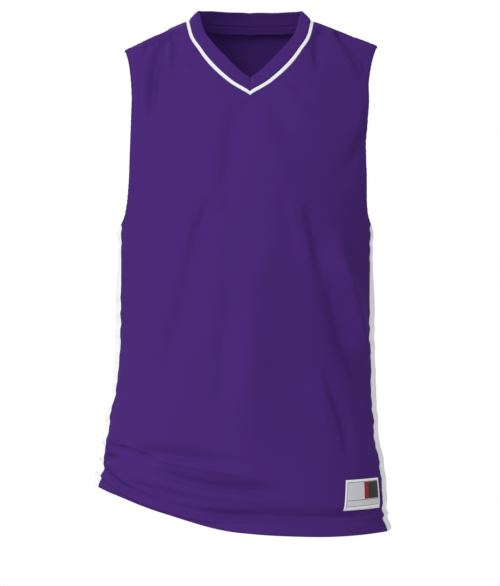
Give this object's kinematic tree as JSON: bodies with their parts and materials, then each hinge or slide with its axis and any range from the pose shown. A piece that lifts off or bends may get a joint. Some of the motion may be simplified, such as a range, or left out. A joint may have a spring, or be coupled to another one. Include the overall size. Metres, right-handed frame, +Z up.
{
  "type": "basketball jersey",
  "caption": "Sleeveless V-neck knit sports top in its worn, hollow shape: two body panels, contrasting side inserts, a mitred collar band edged with piping, and a woven patch near the hem.",
  "frame": {"origin": "midway between the two points where the shoulder seams meet the neck, at their height, where the wearer's shoulders carry the garment", "axes": "+Z up, +X to the wearer's left, +Y to the wearer's back"},
  "size_m": [0.4207, 0.2638, 0.754],
  "materials": {
    "purple_knit": "matt smooth sports knit",
    "white_knit": "matt smooth sports knit",
    "label_satin": "woven satin with a corded edge"
  },
  "bodies": {
    "root": {"front_panel": "purple_knit", "back_panel": "purple_knit", "side_insert_right": "white_knit", "side_insert_left": "white_knit", "collar_band": "purple_knit", "neck_piping": "white_knit", "hem_label": "label_satin"}
  },
  "joints": []
}
